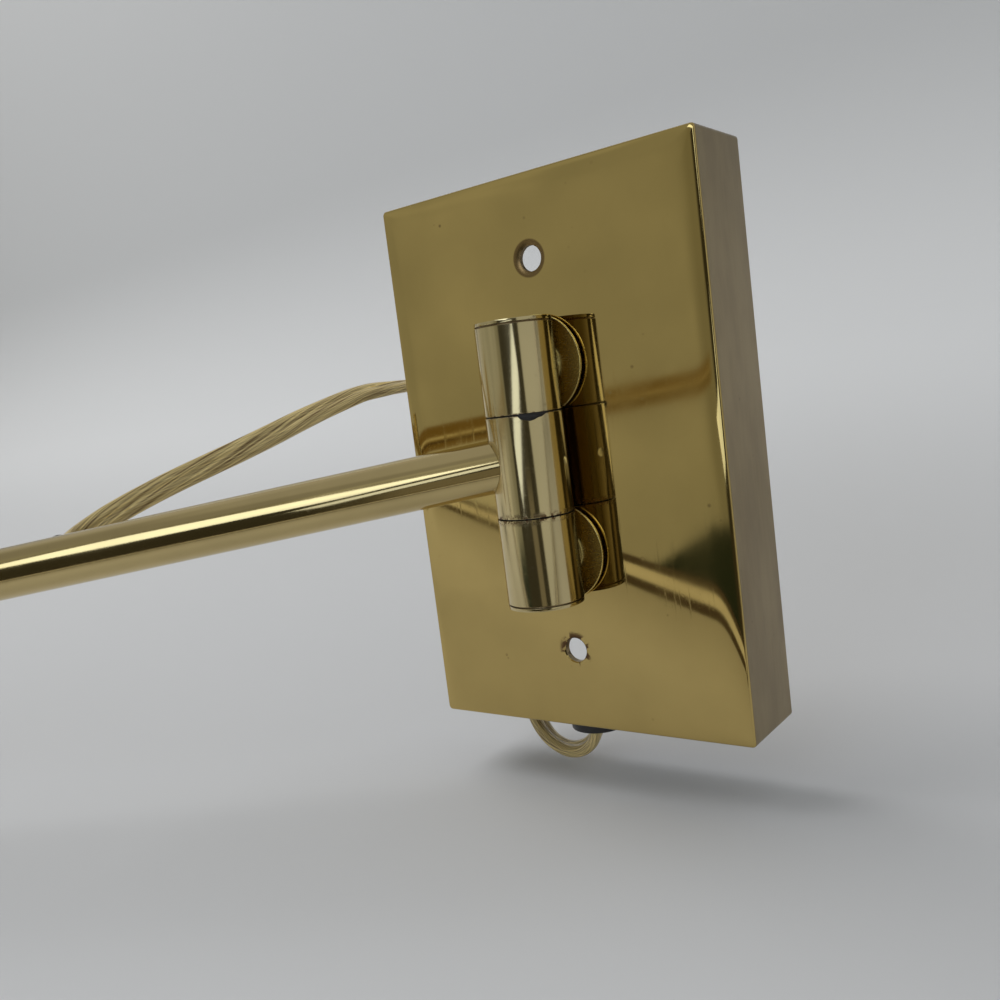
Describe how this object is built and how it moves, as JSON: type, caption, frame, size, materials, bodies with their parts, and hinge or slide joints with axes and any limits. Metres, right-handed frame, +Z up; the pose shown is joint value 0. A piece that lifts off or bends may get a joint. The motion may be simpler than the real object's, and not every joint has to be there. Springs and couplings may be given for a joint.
{
  "type": "swing arm wall lamp",
  "caption": "Wall lamp with a boxed wall plate, a barrel knuckle, a jointed swing arm and a half-round shade that swivels; a flat cord loops from the plate to the arm.",
  "frame": {"origin": "middle of the wall plate, on the wall", "axes": "+X to the right as seen from the room, +Y into the wall, +Z up"},
  "size_m": [0.5953, 0.1903, 0.1304],
  "materials": {
    "brass": "polished",
    "bronze": "sintered",
    "nickel": "polished",
    "steel": "turned",
    "black_plastic": "matt",
    "rubber": "matt",
    "cord": "clear gold"
  },
  "bodies": {
    "wall_plate": {"back_plate": "brass", "flange_discs": "brass", "mounting_studs": "nickel", "lock_washers": "steel", "stud_nuts": "steel", "upper_barrel": "brass", "lower_barrel": "brass", "barrel_caps": "brass", "pivot_bushes": "bronze", "cord_bushing": "black_plastic", "lamp_cord": "cord", "lead_wires": "cord", "wire_connectors": "black_plastic"},
    "first_arm": {"middle_barrel": "brass", "pivot_spindle": "steel", "spindle_pin": "brass", "friction_washers": "black_plastic", "first_spigot": "steel", "first_arm_tube": "brass", "cord_grommet": "rubber", "first_lead": "cord", "elbow_spigot": "steel", "elbow_lower_barrel": "brass", "elbow_lower_cap": "brass", "elbow_spindle": "steel", "elbow_retainer": "steel", "elbow_friction_washer": "black_plastic"},
    "second_arm": {"elbow_upper_barrel": "brass", "elbow_upper_cap": "brass", "elbow_bush": "bronze", "second_spigot": "steel", "second_arm_tube": "brass", "second_lead": "cord", "swivel_collar": "brass"},
    "lamp_head": {"swivel_nipple": "steel", "swivel_washer": "black_plastic", "nipple_nut": "steel", "socket_cup": "brass", "lamp_socket": "black_plastic", "screw_shell": "brass", "centre_contact": "brass", "shade": "brass", "shade_back": "brass", "shade_front": "brass", "shade_ring": "black_plastic", "switch_body": "black_plastic", "switch_nut": "brass"},
    "switch_knob": {"switch_stem": "steel", "knob": "brass"}
  },
  "joints": [
    {"name": "wall_swivel", "type": "hinge", "parent": "wall_plate", "child": "first_arm", "pos_m": [0, -0.0279, 0], "axis": [0, 0, 1], "range_deg": [-30, 145], "deforming": ["lamp_cord"]},
    {"name": "elbow_swivel", "type": "hinge", "parent": "first_arm", "child": "second_arm", "pos_m": [-0.19398, -0.15148, -0.011], "axis": [0, 0, 1], "range_deg": [-87.5, 152.5]},
    {"name": "shade_swivel", "type": "hinge", "parent": "second_arm", "child": "lamp_head", "pos_m": [-0.36648, -0.15148, -0.00085], "axis": [-1, 0, 0], "range_deg": [-150, 150]},
    {"name": "switch_turn", "type": "hinge", "parent": "lamp_head", "child": "switch_knob", "pos_m": [-0.38228, -0.15148, -0.00085], "axis": [0, -1, 0], "continuous": true}
  ]
}
